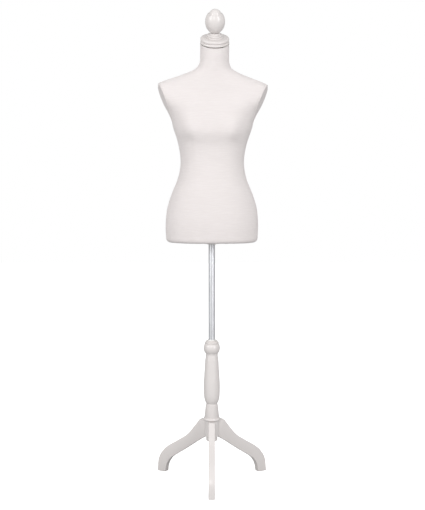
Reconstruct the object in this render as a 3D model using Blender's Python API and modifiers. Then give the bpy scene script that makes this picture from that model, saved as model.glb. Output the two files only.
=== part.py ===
"""A dress form: a jersey-covered foam torso that slides and turns on a clamped pole,
which stands in a turned wooden column with three sawn legs."""
import math

import bmesh
import bpy
from mathutils import Matrix, Vector

for old in list(bpy.data.objects):
    bpy.data.objects.remove(old, do_unlink=True)

MM = 0.001
GAP = 0.3 * MM            # between pieces that touch
DEG = math.pi / 180

# ---- stand: sizes that can be set by themselves
LEG_REACH = 221 * MM      # pole axis to the toe
LEG_THICK = 22 * MM
FOOT_LENGTH = 33 * MM
LEG_COUNT = 3
COLLAR_BOTTOM = 136 * MM  # floor to the collar's underside
COLLAR_HEIGHT = 17 * MM
COLLAR_R = 20 * MM
HUB_R = 24.8 * MM
HUB_FLAT_R = 21.5 * MM    # pole axis to the flats that the legs seat on
HUB_HEIGHT = 54.4 * MM
FLANGE_R = 30 * MM
FLANGE_HEIGHT = 10 * MM
CONE_HEIGHT = 48 * MM
VASE_HEIGHT = 172 * MM
VASE_R = 28 * MM
WAIST_R = 19.4 * MM       # column's narrow place above the cone
THROAT_R = 20.6 * MM      # column's narrow place under the ball
BALL_R = 28.4 * MM
BALL_HEIGHT = 50 * MM     # throat to the top collar
BORE_CLEAR = 0.7 * MM     # pole to the column's bore
TENON_DEPTH = 5.5 * MM
TENON_ROOT = 9 * MM       # width where the dovetail leaves the leg
TENON_TIP = 12 * MM
COLLAR_SCREW_R = 1.7 * MM
BETWEEN_LEGS = 90 * DEG   # first collar screw; the legs point to -90, 30 and 150 degrees

# ---- pole and clamp
POLE_R = 11 * MM
POLE_WALL = 1.2 * MM
POLE_LENGTH = 760 * MM
POLE_FOOT_Z = 310 * MM    # at the height shown
SLIDE_CLEAR = 0.3 * MM    # pole to the guide bush and the clamp pad
BUSH_R = POLE_R + 2.4 * MM
BUSH_FLANGE_R = POLE_R + 3.5 * MM
BUSH_LENGTH = 15 * MM
STUD_R = 4 * MM
INSERT_R = STUD_R + 2 * MM
KNOB_R = 15 * MM
KNOB_LENGTH = 17 * MM
KNOB_CLEAR = 2 * MM       # knob to the ball when tight

# ---- torso
TORSO_BOTTOM = 832 * MM
HIP_REACH = 130 * MM      # pole axis to the furthest point of the back
COVER_THICK = 1.5 * MM
FOAM_THICK = 14 * MM
BOARD_THICK = 9 * MM
BOTTOM_ROUND = 13 * MM
COVER_TURN_IN = 0.80      # the wrapped cover ends at this share of the bottom outline
BOARD_SHARE = 0.86        # board outline as a share of the bottom outline
ARM_TOP = (185 * MM, 1374 * MM)   # x and z of the arm cut's upper end
ARM_LEAN = 20.5 * DEG     # arm cut from the vertical
ARM_FOOT = 1250 * MM      # below this the cut curves out of the form
ARM_EASE = 0.9            # sideways run of that curve to each unit of drop
ARM_TURN = 8 * DEG        # arm cut turned to the front
NECK_R = 50.5 * MM
NECK_TOP = Vector((0, -4 * MM, 1525 * MM))
NECK_TILT = 28 * DEG
FORM_LEAN = 0.006         # sideways, per unit of height above the bottom
NECK_ASIDE = 6 * MM       # neck further to that side than the shoulders
SHOULDER_DROP = 0.018     # left shoulder lower, per unit of width
SHOULDER_RISE = 540 * MM  # bottom to shoulders, where the whole drop is reached
SOCKET_CLEAR = 0.6 * MM
SOCKET_WALL = 1.6 * MM
SOCKET_FLANGE_R = 36 * MM
SOCKET_FLANGE_THICK = 3.5 * MM
FLANGE_SCREWS = 4
SCREW_HEAD_R = 3.5 * MM
SCREW_R = 1.8 * MM
CAP_R = 50.5 * MM
CAP_HEIGHT = 22 * MM
EGG_R = 34.5 * MM
EGG_HEIGHT = 84 * MM
BUN_HEIGHT = 17 * MM      # moulding between the cap's disc and the egg
NECK_STUD_R = 4 * MM

# ---- worked out from those
COLLAR_TOP = COLLAR_BOTTOM + COLLAR_HEIGHT
HUB_BOTTOM = COLLAR_TOP + GAP
HUB_TOP = HUB_BOTTOM + HUB_HEIGHT
FLANGE_TOP = HUB_TOP + FLANGE_HEIGHT
CONE_TOP = FLANGE_TOP + CONE_HEIGHT
VASE_TOP = CONE_TOP + VASE_HEIGHT
COLUMN_TOP = VASE_TOP + BALL_HEIGHT
BALL_Z = VASE_TOP + 0.47 * BALL_HEIGHT
BORE_R = POLE_R + BORE_CLEAR
POLE_TOP_Z = POLE_FOOT_Z + POLE_LENGTH
PLUG_FLANGE = 3 * MM
SOCKET_R = POLE_R + SOCKET_CLEAR
SOCKET_OUT_R = SOCKET_R + SOCKET_WALL
BOARD_Z = TORSO_BOTTOM + COVER_THICK + GAP
FOAM_INSET = COVER_THICK + GAP
# the pole axis stands where the whole object's box is centred front to back
BACK_REACH = max(LEG_REACH * math.sin(30 * DEG) + LEG_THICK / 2 * math.cos(30 * DEG), HIP_REACH)
AXIS_Y = (LEG_REACH - BACK_REACH) / 2

# height, half width, front and back depth from the pole axis, squareness of the section
TORSO_STATIONS = (
    (0.846, 0.1595, 0.108, 0.118, 2.25),
    (0.898, 0.1612, 0.112, 0.127, 2.25),
    (0.950, 0.1565, 0.111, 0.129, 2.2),
    (1.000, 0.1412, 0.108, 0.117, 2.2),
    (1.055, 0.1195, 0.101, 0.094, 2.2),
    (1.108, 0.1104, 0.096, 0.083, 2.2),
    (1.160, 0.1160, 0.098, 0.090, 2.25),
    (1.220, 0.1345, 0.104, 0.104, 2.3),
    (1.285, 0.1620, 0.102, 0.113, 2.3),
    (1.320, 0.2050, 0.092, 0.111, 2.2),
    (1.350, 0.2320, 0.078, 0.102, 2.2),
    (1.374, 0.2300, 0.063, 0.088, 2.2),
    (1.388, 0.1860, 0.056, 0.078, 2.1),
    (1.402, 0.1460, 0.052, 0.070, 2.0),
    (1.418, 0.1010, 0.050, 0.063, 2.0),
    (1.436, 0.0645, 0.050, 0.056, 2.0),
    (1.456, 0.0520, 0.050, 0.052, 2.0),
)
TORSO_ROWS = (0.846, 0.880, 0.925, 0.97, 1.015, 1.06, 1.105, 1.15, 1.175, 1.197, 1.216, 1.238,
              1.256, 1.28, 1.305, 1.33, 1.355, 1.376, 1.39, 1.404, 1.42, 1.438, 1.456)
TORSO_SIDES = 28
BUST_CENTRE = (76 * MM, 1216 * MM)
BUST_HEIGHT = 21 * MM
BUST_WIDE = 43 * MM
BUST_ABOVE = 50 * MM
BUST_BELOW = 33 * MM
BRIDGE_HEIGHT = 12 * MM   # fullness between the breasts

PARTS = bpy.data.collections.new("dress_form")
CUTTERS = bpy.data.collections.new("cutters")
for made in (PARTS, CUTTERS):
    bpy.context.scene.collection.children.link(made)


# ---- helpers
def finish(name, colour, roughness, metallic=0.0):
    material = bpy.data.materials.new(name)
    material.use_nodes = True
    shader = material.node_tree.nodes["Principled BSDF"]
    shader.inputs["Base Color"].default_value = (*colour, 1)
    shader.inputs["Roughness"].default_value = roughness
    shader.inputs["Metallic"].default_value = metallic
    return material


def empty(name, parent=None, location=(0, 0, 0), tilt=0.0):
    item = bpy.data.objects.new(name, None)
    item.location = location
    item.rotation_euler = (tilt, 0, 0)
    item.parent = parent
    PARTS.objects.link(item)
    return item


def place(name, mesh, parent, material=None, location=(0, 0, 0), rotation=(0, 0, 0)):
    item = bpy.data.objects.new(name, mesh)
    item.location = location
    item.rotation_euler = rotation
    item.parent = parent
    if material is None:
        CUTTERS.objects.link(item)
        item.hide_render = True
        item.display_type = "WIRE"
    else:
        mesh.materials.clear()
        mesh.materials.append(material)
        PARTS.objects.link(item)
    return item


def profile_mesh(name, points, closed):
    """A line in the XZ plane, for Screw to turn round Z."""
    mesh = bpy.data.meshes.new(name)
    count = len(points)
    edges = [(i, (i + 1) % count) for i in range(count if closed else count - 1)]
    mesh.from_pydata([(r, 0, z) for r, z in points], edges, [])
    return mesh


def turned(name, points, parent, material=None, steps=28, closed=False, **where):
    """points are (radius, height), down the outer side; closed for a ring or tube."""
    item = place(name, profile_mesh(name, points, closed), parent, material, **where)
    screw = item.modifiers.new("turn", "SCREW")
    screw.steps = screw.render_steps = steps
    screw.use_merge_vertices = True
    screw.merge_threshold = 0.00001
    screw.use_smooth_shade = True
    return item


def cut(item, cutter, operation="DIFFERENCE"):
    boolean = item.modifiers.new("cut", "BOOLEAN")
    boolean.operation = operation
    boolean.solver = "EXACT"
    boolean.object = cutter


def block(name, low, high, parent, material=None, **where):
    mesh = bpy.data.meshes.new(name)
    shape = bmesh.new()
    bmesh.ops.create_cube(shape, size=1)
    size = Vector(high) - Vector(low)
    middle = (Vector(high) + Vector(low)) / 2
    bmesh.ops.transform(shape, matrix=Matrix.Translation(middle) @ Matrix.Diagonal((*size, 1)),
                        verts=shape.verts)
    shape.to_mesh(mesh)
    shape.free()
    return place(name, mesh, parent, material, **where)


def smooth_through(points, samples):
    """Catmull-Rom points through hand-set ones, ends kept."""
    ends = [2 * points[0] - points[1], *points, 2 * points[-1] - points[-2]]
    out = []
    for i in range(1, len(ends) - 2):
        before, here, there, after = ends[i - 1:i + 3]
        for k in range(samples):
            t = k / samples
            out.append(0.5 * (2 * here + (there - before) * t
                              + (2 * before - 5 * here + 4 * there - after) * t * t
                              + (3 * here - before - 3 * there + after) * t ** 3))
    return out + [points[-1]]


def arc(r, z, radius, start, end, count):
    """Points of a bead: centre r, z; angles in degrees from the outward side, up positive."""
    angles = [(start + (end - start) * i / (count - 1)) * DEG for i in range(count)]
    return [(r + radius * math.cos(a), z + radius * math.sin(a)) for a in angles]


def outline_mesh(name, points, thickness):
    """A flat outline filled both sides and given its thickness, as a welded mesh."""
    curve = bpy.data.curves.new(name, "CURVE")
    curve.dimensions = "2D"
    curve.fill_mode = "BOTH"
    curve.extrude = thickness / 2
    line = curve.splines.new("POLY")
    line.points.add(len(points) - 1)
    for point, (x, y) in zip(line.points, points):
        point.co = (x, y, 0, 1)
    line.use_cyclic_u = True
    guide = bpy.data.objects.new(name + "_outline", curve)
    bpy.context.scene.collection.objects.link(guide)
    bpy.context.view_layer.update()
    mesh = bpy.data.meshes.new_from_object(guide.evaluated_get(bpy.context.evaluated_depsgraph_get()))
    bpy.data.objects.remove(guide, do_unlink=True)
    shape = bmesh.new()
    shape.from_mesh(mesh)
    bmesh.ops.remove_doubles(shape, verts=shape.verts, dist=0.00001)
    bmesh.ops.recalc_face_normals(shape, faces=shape.faces)
    shape.to_mesh(mesh)
    shape.free()
    return mesh


def join_copies(mesh, matrices):
    """One mesh of separate copies, for a cutter that drills a ring of holes."""
    shape = bmesh.new()
    for matrix in matrices:
        one = bmesh.new()
        one.from_mesh(mesh)
        bmesh.ops.transform(one, matrix=matrix, verts=one.verts)
        copy = bpy.data.meshes.new("copy")
        one.to_mesh(copy)
        one.free()
        shape.from_mesh(copy)
        bpy.data.meshes.remove(copy)
    out = bpy.data.meshes.new(mesh.name + "_group")
    shape.to_mesh(out)
    shape.free()
    return out


def around(count, radius, first=0.0):
    """Matrices on a circle about the pole axis, each turned to face outward."""
    out = []
    for i in range(count):
        angle = first + i * 2 * math.pi / count
        out.append(Matrix.Rotation(angle, 4, "Z") @ Matrix.Translation((radius, 0, 0)))
    return out


def screw_mesh(name, head_r, head_height, shank_r, length):
    """A round-headed screw pointing up, its head's seat at height 0."""
    shape = bmesh.new()
    sizes = ((head_r, -head_height / 2, head_height), (shank_r, length / 2, length))
    for radius, middle, depth in sizes:
        bmesh.ops.create_cone(shape, cap_ends=True, segments=10, radius1=radius, radius2=radius,
                              depth=depth, matrix=Matrix.Translation((0, 0, middle)))
    # the shank grows out of the head: the two seat faces become one ring
    seat = [f for f in shape.faces if abs(f.calc_center_median().z) < 1e-6 and abs(f.normal.z) > 0.9]
    loops = [e for f in seat for e in f.edges]
    bmesh.ops.delete(shape, geom=seat, context="FACES_ONLY")
    bmesh.ops.bridge_loops(shape, edges=loops)
    bmesh.ops.recalc_face_normals(shape, faces=shape.faces)
    mesh = bpy.data.meshes.new(name)
    shape.to_mesh(mesh)
    shape.free()
    return mesh


def fasten(name, mesh, parent, matrices, height):
    """One object for each equal fastener, numbered from 1."""
    for number, matrix in enumerate(matrices, 1):
        spot = matrix.translation
        place(f"{name}_{number}", mesh, parent, STEEL, location=(spot.x, spot.y, height))


# ---- materials
PAINT = finish("white_paint", (0.80, 0.78, 0.77), 0.35)
CLOTH = finish("jersey", (0.84, 0.81, 0.80), 0.9)
FOAM = finish("foam", (0.85, 0.84, 0.80), 0.9)
STEEL = finish("brushed_steel", (0.70, 0.71, 0.73), 0.3, 1.0)
NYLON = finish("white_nylon", (0.85, 0.85, 0.83), 0.45)
BRASS = finish("brass", (0.75, 0.58, 0.30), 0.35, 1.0)
BOARD = finish("board", (0.62, 0.50, 0.36), 0.8)

# ---- bodies
stand = empty("stand_axis", location=(0, AXIS_Y, 0))
pole_axis = empty("pole_axis", stand)
torso_axis = empty("torso_axis", pole_axis)
clamp_axis = empty("clamp_axis", stand, (0, 0, BALL_Z), -90 * DEG)   # its +Z is the stand's +Y


# ---- column
def column():
    vase = smooth_through([Vector(p) for p in (
        (THROAT_R, VASE_TOP - 3 * MM), (THROAT_R + 2.4 * MM, CONE_TOP + 0.88 * VASE_HEIGHT),
        (VASE_R - 2.6 * MM, CONE_TOP + 0.66 * VASE_HEIGHT), (VASE_R, CONE_TOP + 0.40 * VASE_HEIGHT),
        (VASE_R - 0.5 * MM, CONE_TOP + 0.18 * VASE_HEIGHT),
        (VASE_R - 3.4 * MM, CONE_TOP + 0.075 * VASE_HEIGHT),
        (WAIST_R, CONE_TOP + 1 * MM))], 2)
    half = FLANGE_HEIGHT / 2
    points = [
        (BUSH_R + GAP, COLUMN_TOP), (THROAT_R - 1 * MM, COLUMN_TOP),
        (THROAT_R - 1 * MM, COLUMN_TOP - 4 * MM),
        (BALL_R - 4.2 * MM, COLUMN_TOP - 7 * MM), (BALL_R - 4.2 * MM, COLUMN_TOP - 11 * MM),
        (BALL_R - 5.6 * MM, COLUMN_TOP - 12.5 * MM),
        *arc(0, BALL_Z, BALL_R, 33, -39, 6), (THROAT_R, VASE_TOP),
        *[(p.x, p.y) for p in vase],
        (WAIST_R, CONE_TOP - 2 * MM), (WAIST_R + 1.6 * MM, CONE_TOP - 4 * MM),
        (FLANGE_R - 4 * MM, FLANGE_TOP + 1 * MM),
        *arc(FLANGE_R - half, FLANGE_TOP - half, half, 80, -80, 5),
        (HUB_R, HUB_TOP), (HUB_R, HUB_BOTTOM), (BORE_R, HUB_BOTTOM),
        (BORE_R, COLUMN_TOP - BUSH_LENGTH - GAP), (BUSH_R + GAP, COLUMN_TOP - BUSH_LENGTH - GAP),
    ]
    item = turned("column", points, stand, PAINT, steps=24, closed=True)
    for i in range(LEG_COUNT):
        turn = (0, 0, i * 2 * math.pi / LEG_COUNT)
        flat = block("flat_cutter", (-20 * MM, -60 * MM, HUB_BOTTOM - 5 * MM),
                     (20 * MM, -HUB_FLAT_R, HUB_TOP), stand, rotation=turn)
        slot = place("slot_cutter", tenon_mesh(GAP, HUB_BOTTOM - 5 * MM, tenon_top() + GAP), stand,
                     rotation=turn)
        cut(item, flat)
        cut(item, slot)
    hole_end = BALL_R + 5 * MM
    hole = turned("clamp_hole", [(0, hole_end), (INSERT_R + GAP, hole_end),
                                 (INSERT_R + GAP, BORE_R - 3 * MM),
                                 (0, BORE_R - 3 * MM)], clamp_axis, steps=16)
    cut(item, hole)
    pilots = place("pilot_cutter", join_copies(
        screw_mesh("pilot", COLLAR_SCREW_R + 2 * GAP, 5 * MM, COLLAR_SCREW_R + GAP, 14.3 * MM),
        around(LEG_COUNT, collar_screw_ring(), BETWEEN_LEGS)), stand,
        location=(0, 0, HUB_BOTTOM - 1 * MM))
    cut(item, pilots)
    return item


def collar_screw_ring():
    return (BORE_R + COLLAR_R) / 2 + 0.4 * MM


def tenon_top():
    return HUB_TOP - 8 * MM


def tenon_mesh(clear, low, high):
    """A dovetail key pointing at the pole axis from -Y, wider at its tip."""
    root = -(HUB_FLAT_R + 3 * MM)
    tip = -(HUB_FLAT_R - TENON_DEPTH) + clear
    root_half = TENON_ROOT / 2 - 0.5 * MM + clear
    tip_half = TENON_TIP / 2 + clear
    shape = bmesh.new()
    ring = [shape.verts.new((x, y, low)) for x, y in
            ((-root_half, root), (root_half, root), (tip_half, tip), (-tip_half, tip))]
    base = shape.faces.new(ring)
    raised = bmesh.ops.extrude_face_region(shape, geom=[base])["geom"]
    moved = [v for v in raised if isinstance(v, bmesh.types.BMVert)]
    bmesh.ops.translate(shape, verts=moved, vec=(0, 0, high - low))
    bmesh.ops.recalc_face_normals(shape, faces=shape.faces)
    mesh = bpy.data.meshes.new("tenon")
    shape.to_mesh(mesh)
    shape.free()
    return mesh


# ---- legs: the sawn outline as shares of the run out from the hub and of the seat's top height
LEG_BACK = ((0.115, 1.0), (0.175, 0.925), (0.36, 0.72), (0.57, 0.583), (0.76, 0.47), (0.88, 0.37),
            (0.97, 0.225), (1.0, 0.0))
LEG_BELLY = ((0.0, 0.0), (0.030, 0.128), (0.105, 0.245), (0.235, 0.335), (0.405, 0.438), (0.655, 0.60),
             (0.85, 0.715))


def leg_outline():
    seat = HUB_FLAT_R + GAP
    top = HUB_TOP - GAP
    run = LEG_REACH - seat
    inner = LEG_REACH - FOOT_LENGTH
    back = smooth_through([Vector((seat + u * run, v * top)) for u, v in LEG_BACK], 3)
    belly_run = (inner - seat) / 0.85
    belly = smooth_through([Vector((inner - u * belly_run, v * top)) for u, v in LEG_BELLY], 3)
    return [(seat, top)] + [tuple(p) for p in back] + [tuple(p) for p in belly]


def legs():
    mesh = outline_mesh("leg_board", leg_outline(), LEG_THICK)
    # the outline's x is the run out and y the height: stand it up along -Y
    upright = Matrix(((0, 0, 1, 0), (-1, 0, 0, 0), (0, 1, 0, 0), (0, 0, 0, 1)))
    mesh.transform(upright)
    key = tenon_mesh(0, HUB_BOTTOM + GAP, tenon_top())
    for i, name in enumerate(("leg_front", "leg_right", "leg_left")):
        turn = (0, 0, i * 2 * math.pi / LEG_COUNT)
        item = place(name, mesh.copy(), stand, PAINT, rotation=turn)
        bevel = item.modifiers.new("softened", "BEVEL")
        bevel.width = 1.2 * MM
        bevel.segments = 1
        bevel.limit_method = "ANGLE"
        bevel.angle_limit = 50 * DEG
        tool = place(name + "_tenon", key.copy(), stand, rotation=turn)
        cut(item, tool, "UNION")


def stand_hardware():
    turned("bottom_collar", [(BORE_R, COLLAR_TOP), (COLLAR_R, COLLAR_TOP),
                             (COLLAR_R, COLLAR_BOTTOM + 3 * MM),
                             (COLLAR_R - 3 * MM, COLLAR_BOTTOM), (BORE_R, COLLAR_BOTTOM)],
           stand, PAINT, steps=24, closed=True)
    ring = collar_screw_ring()
    head_z = COLLAR_BOTTOM + 2.5 * MM
    holes = screw_mesh("collar_hole", COLLAR_SCREW_R * 1.6 + GAP, 5 * MM, COLLAR_SCREW_R + GAP,
                       COLLAR_HEIGHT + 5 * MM)
    tool = place("collar_hole_cutter", join_copies(holes, around(LEG_COUNT, ring, BETWEEN_LEGS)), stand,
                 location=(0, 0, head_z + GAP))
    cut(bpy.data.objects["bottom_collar"], tool)
    screw = screw_mesh("collar_screw", COLLAR_SCREW_R * 1.6, 1.6 * MM, COLLAR_SCREW_R,
                       COLLAR_HEIGHT + 8 * MM)
    fasten("collar_screw", screw, stand, around(LEG_COUNT, ring, BETWEEN_LEGS), head_z)
    hole_r = POLE_R + SLIDE_CLEAR
    turned("top_bush", [(hole_r, COLUMN_TOP + 3 * MM), (BUSH_FLANGE_R - 1 * MM, COLUMN_TOP + 3 * MM),
                        (BUSH_FLANGE_R, COLUMN_TOP + 2 * MM), (BUSH_FLANGE_R, COLUMN_TOP + GAP),
                        (BUSH_R, COLUMN_TOP + GAP), (BUSH_R, COLUMN_TOP - BUSH_LENGTH),
                        (hole_r, COLUMN_TOP - BUSH_LENGTH)], stand, NYLON, steps=28, closed=True)


# ---- clamp, along the clamp axis; heights are distances from the pole axis
PAD_START = POLE_R + SLIDE_CLEAR
PAD_LENGTH = 5 * MM
STUD_START = PAD_START + PAD_LENGTH + GAP
INSERT_START = BORE_R + 3.5 * MM
INSERT_END = BALL_R - 1.2 * MM
KNOB_START = BALL_R + KNOB_CLEAR
STUD_END = KNOB_START + 0.8 * KNOB_LENGTH


def clamp():
    inside = STUD_R + GAP
    turned("clamp_insert", [(inside, INSERT_END), (INSERT_R, INSERT_END), (INSERT_R, INSERT_START),
                            (inside, INSERT_START)], clamp_axis, BRASS, steps=16, closed=True)
    turned("clamp_pad", [(0, PAD_START + PAD_LENGTH), (STUD_R - 0.4 * MM, PAD_START + PAD_LENGTH),
                         (STUD_R - 0.4 * MM, PAD_START), (0, PAD_START)], clamp_axis, NYLON, steps=16)
    turned("clamp_stud", [(0, STUD_END), (STUD_R - 0.6 * MM, STUD_END), (STUD_R, STUD_END - 0.6 * MM),
                          (STUD_R, STUD_START), (0, STUD_START)], clamp_axis, STEEL, steps=16)
    lobes = 6
    points = []
    for i in range(lobes * 6):
        angle = i * 2 * math.pi / (lobes * 6)
        radius = KNOB_R - 1.2 * MM * (1 - math.cos(lobes * angle)) / 2
        points.append((radius * math.cos(angle), radius * math.sin(angle)))
    item = place("clamp_knob", outline_mesh("knob", points, KNOB_LENGTH), clamp_axis, NYLON,
                 location=(0, 0, KNOB_START + KNOB_LENGTH / 2))
    bevel = item.modifiers.new("rounded", "BEVEL")
    bevel.width = 2 * MM
    bevel.segments = 2
    bevel.angle_limit = 50 * DEG
    socket = turned("knob_hole", [(0, STUD_END + GAP), (inside, STUD_END + GAP),
                                  (inside, KNOB_START - 5 * MM),
                                  (0, KNOB_START - 5 * MM)], clamp_axis, steps=16)
    cut(item, socket)


# ---- pole
def pole():
    inner = POLE_R - POLE_WALL
    plug_r = inner - GAP
    low, high = POLE_FOOT_Z, POLE_TOP_Z
    turned("pole", [(inner, high), (POLE_R, high), (POLE_R, low), (inner, low)], pole_axis, STEEL,
           steps=28, closed=True)
    turned("pole_head_plug", [(0, high + PLUG_FLANGE + 3 * MM), (4 * MM, high + PLUG_FLANGE + 2.2 * MM),
                              (7 * MM, high + PLUG_FLANGE), (POLE_R, high + PLUG_FLANGE),
                              (POLE_R, high + GAP),
                              (plug_r, high + GAP), (plug_r, high - 14 * MM), (0, high - 14 * MM)],
           pole_axis, NYLON, steps=20)
    turned("pole_foot_plug", [(0, low + 14 * MM), (plug_r, low + 14 * MM), (plug_r, low - GAP),
                              (POLE_R, low - GAP), (POLE_R, low - PLUG_FLANGE), (0, low - PLUG_FLANGE)],
           pole_axis, NYLON, steps=20)


# ---- torso surface
def spline_value(table, column_index, height):
    """Cubic through the stations' values at one height."""
    last = len(table) - 1
    i = 0
    while i < last - 1 and height > table[i + 1][0]:
        i += 1
    z0, z1 = table[i][0], table[i + 1][0]
    v0, v1 = table[i][column_index], table[i + 1][column_index]

    def slope(k):
        a, b = table[max(k - 1, 0)], table[min(k + 1, last)]
        return (b[column_index] - a[column_index]) / (b[0] - a[0])

    t = (height - z0) / (z1 - z0)
    step = z1 - z0
    return ((2 * t ** 3 - 3 * t * t + 1) * v0 + (t ** 3 - 2 * t * t + t) * step * slope(i)
            + (3 * t * t - 2 * t ** 3) * v1 + (t ** 3 - t * t) * step * slope(i + 1))


def arm_limit(y, z):
    """Half width at which the arm cut's plane stands."""
    plane = ARM_TOP[0] - (ARM_TOP[1] - z) * math.tan(ARM_LEAN) + y * math.tan(ARM_TURN)
    return plane + ARM_EASE * max(0.0, ARM_FOOT - z)


def torso_point(angle, z):
    """A point of the cover's outer face; angle 0 is the left side, 270 degrees the front."""
    half, front, back, square = (spline_value(TORSO_STATIONS, k, z) for k in (1, 2, 3, 4))
    c, s = math.cos(angle), math.sin(angle)
    power = 2 / square
    x = half * math.copysign(abs(c) ** power, c)
    y = (back if s > 0 else front) * math.copysign(abs(s) ** power, s)
    if s < 0:
        below = BUST_BELOW if z < BUST_CENTRE[1] else BUST_ABOVE
        side = (abs(x) - BUST_CENTRE[0]) / BUST_WIDE
        rise = (z - BUST_CENTRE[1]) / below
        mound = BUST_HEIGHT * math.exp(-side * side - rise * rise)
        bridge = BRIDGE_HEIGHT * math.exp(-(x / BUST_WIDE) ** 2 - rise * rise)
        y -= (mound + bridge * (1 - mound / BUST_HEIGHT)) * min(1.0, -s * 2)
    limit = arm_limit(y, z)
    if abs(x) > limit:
        x = math.copysign(limit, x)
    return Vector((x, y, z))


def leaned(point):
    """The same point on the form as it stands, leaning a little to its left."""
    height = point.z - TORSO_BOTTOM
    drop = SHOULDER_DROP * point.x * min(1.0, height / SHOULDER_RISE)
    shoulder, neck_foot = ARM_TOP[1], TORSO_ROWS[-1]
    aside = NECK_ASIDE * min(1.0, max(0.0, (point.z - shoulder) / (neck_foot - shoulder)))
    return Vector((point.x + FORM_LEAN * height + aside, point.y, point.z - drop))


def torso_surface(turn_in):
    """The open surface from the edge under the bottom, up to the tilted neck ring."""
    rings = []
    angles = [2 * math.pi * (i + 0.5) / TORSO_SIDES for i in range(TORSO_SIDES)]
    lowest = [torso_point(a, TORSO_ROWS[0]) for a in angles]
    bottom_rows = [(turn_in, 0.0)] if turn_in < 0.88 else []
    bottom_rows += [(0.885, 0.0), (0.935, 0.06), (0.975, 0.35)]
    for share, lift in bottom_rows:
        z = TORSO_BOTTOM + lift * BOTTOM_ROUND
        rings.append([Vector((p.x * share, p.y * share, z)) for p in lowest])
    for z in TORSO_ROWS:
        rings.append([torso_point(a, z) for a in angles])
    base = Vector((0, 1 * MM, TORSO_ROWS[-1]))
    for share in (0.35, 0.7, 1.0):
        centre = base.lerp(NECK_TOP, share)
        tilt = Matrix.Rotation(NECK_TILT * share, 3, "X")
        ring = []
        for a in angles:
            flat = Vector((NECK_R * math.cos(a), NECK_R * math.sin(a), 0))
            ring.append(centre + tilt @ flat)
        rings.append(ring)
    shape = bmesh.new()
    rows = [[shape.verts.new(leaned(p)) for p in ring] for ring in rings]
    for lower, upper in zip(rows, rows[1:]):
        for i in range(TORSO_SIDES):
            j = (i + 1) % TORSO_SIDES
            shape.faces.new((lower[i], lower[j], upper[j], upper[i]))
    shape.normal_update()
    return shape


def torso_shell(name, inset, thickness, turn_in, material):
    shape = torso_surface(turn_in)
    shifts = [(v, v.normal * inset) for v in shape.verts]
    for v, shift in shifts:
        v.co -= shift
    mesh = bpy.data.meshes.new(name)
    shape.to_mesh(mesh)
    shape.free()
    item = place(name, mesh, torso_axis, material)
    solid = item.modifiers.new("thickness", "SOLIDIFY")
    solid.thickness = thickness
    solid.offset = -1
    mesh.shade_smooth()
    return item


def bottom_outline(share, count=32):
    """The base outline shrunk to a share, for the board."""
    angles = [2 * math.pi * (i + 0.5) / count for i in range(count)]
    lowest = [torso_point(a, TORSO_ROWS[0]) for a in angles]
    return [(p.x * share, p.y * share) for p in lowest]


def torso():
    torso_shell("fabric_cover", 0, COVER_THICK, COVER_TURN_IN, CLOTH)
    torso_shell("foam_core", FOAM_INSET, FOAM_THICK, 1.0, FOAM)


def base():
    hole = SOCKET_OUT_R + GAP
    item = place("base_board", outline_mesh("board", bottom_outline(BOARD_SHARE - 0.01), BOARD_THICK),
                 torso_axis,
                 BOARD, location=(0, 0, BOARD_Z + BOARD_THICK / 2))
    tool = turned("board_bore", [(0, BOARD_Z + 2 * BOARD_THICK), (hole, BOARD_Z + 2 * BOARD_THICK),
                                 (hole, BOARD_Z - BOARD_THICK), (0, BOARD_Z - BOARD_THICK)], torso_axis,
                                 steps=24)
    cut(item, tool)
    ring = (SOCKET_FLANGE_R + SOCKET_OUT_R) / 2 + 2 * MM
    pilots = screw_mesh("board_pilot", SCREW_R + 2 * GAP, 5 * MM, SCREW_R + GAP, BOARD_THICK * 0.8)
    cut(item, place("board_pilots", join_copies(pilots, around(FLANGE_SCREWS, ring, 45 * DEG)),
                    torso_axis,
                    location=(0, 0, BOARD_Z - 1 * MM)))
    flange_top = BOARD_Z - GAP
    flange_low = flange_top - SOCKET_FLANGE_THICK
    flange = turned("socket_flange", [(SOCKET_R, flange_top), (SOCKET_FLANGE_R, flange_top),
                                      (SOCKET_FLANGE_R, flange_low + 1 * MM),
                                      (SOCKET_FLANGE_R - 1 * MM, flange_low),
                                      (SOCKET_OUT_R + 3 * MM, flange_low),
                                      (SOCKET_OUT_R + 2 * MM, flange_low - 6 * MM),
                                      (SOCKET_R, flange_low - 6 * MM)], torso_axis, NYLON, steps=28,
                                      closed=True)
    holes = screw_mesh("flange_hole", SCREW_R + 2 * GAP, 5 * MM, SCREW_R + GAP, 12 * MM)
    cut(flange, place("flange_holes", join_copies(holes, around(FLANGE_SCREWS, ring, 45 * DEG)),
                      torso_axis,
                      location=(0, 0, flange_low - 1 * MM)))
    screw = screw_mesh("flange_screw", SCREW_HEAD_R, 1.8 * MM, SCREW_R,
                       SOCKET_FLANGE_THICK + BOARD_THICK * 0.7)
    fasten("flange_screw", screw, torso_axis, around(FLANGE_SCREWS, ring, 45 * DEG), flange_low - GAP)
    tube_top = POLE_TOP_Z + 16 * MM
    turned("socket_tube", [(SOCKET_R, tube_top), (SOCKET_OUT_R, tube_top), (SOCKET_OUT_R, BOARD_Z),
                           (SOCKET_R, BOARD_Z)], torso_axis, STEEL, steps=24, closed=True)
    seat = POLE_TOP_Z + PLUG_FLANGE + 3 * MM + GAP
    turned("socket_cap", [(0, tube_top + 3 * MM), (SOCKET_OUT_R, tube_top + 3 * MM),
                          (SOCKET_OUT_R, tube_top + GAP),
                          (SOCKET_R - GAP, tube_top + GAP), (SOCKET_R - GAP, seat), (0, seat)],
           torso_axis, NYLON, steps=20)


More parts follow.
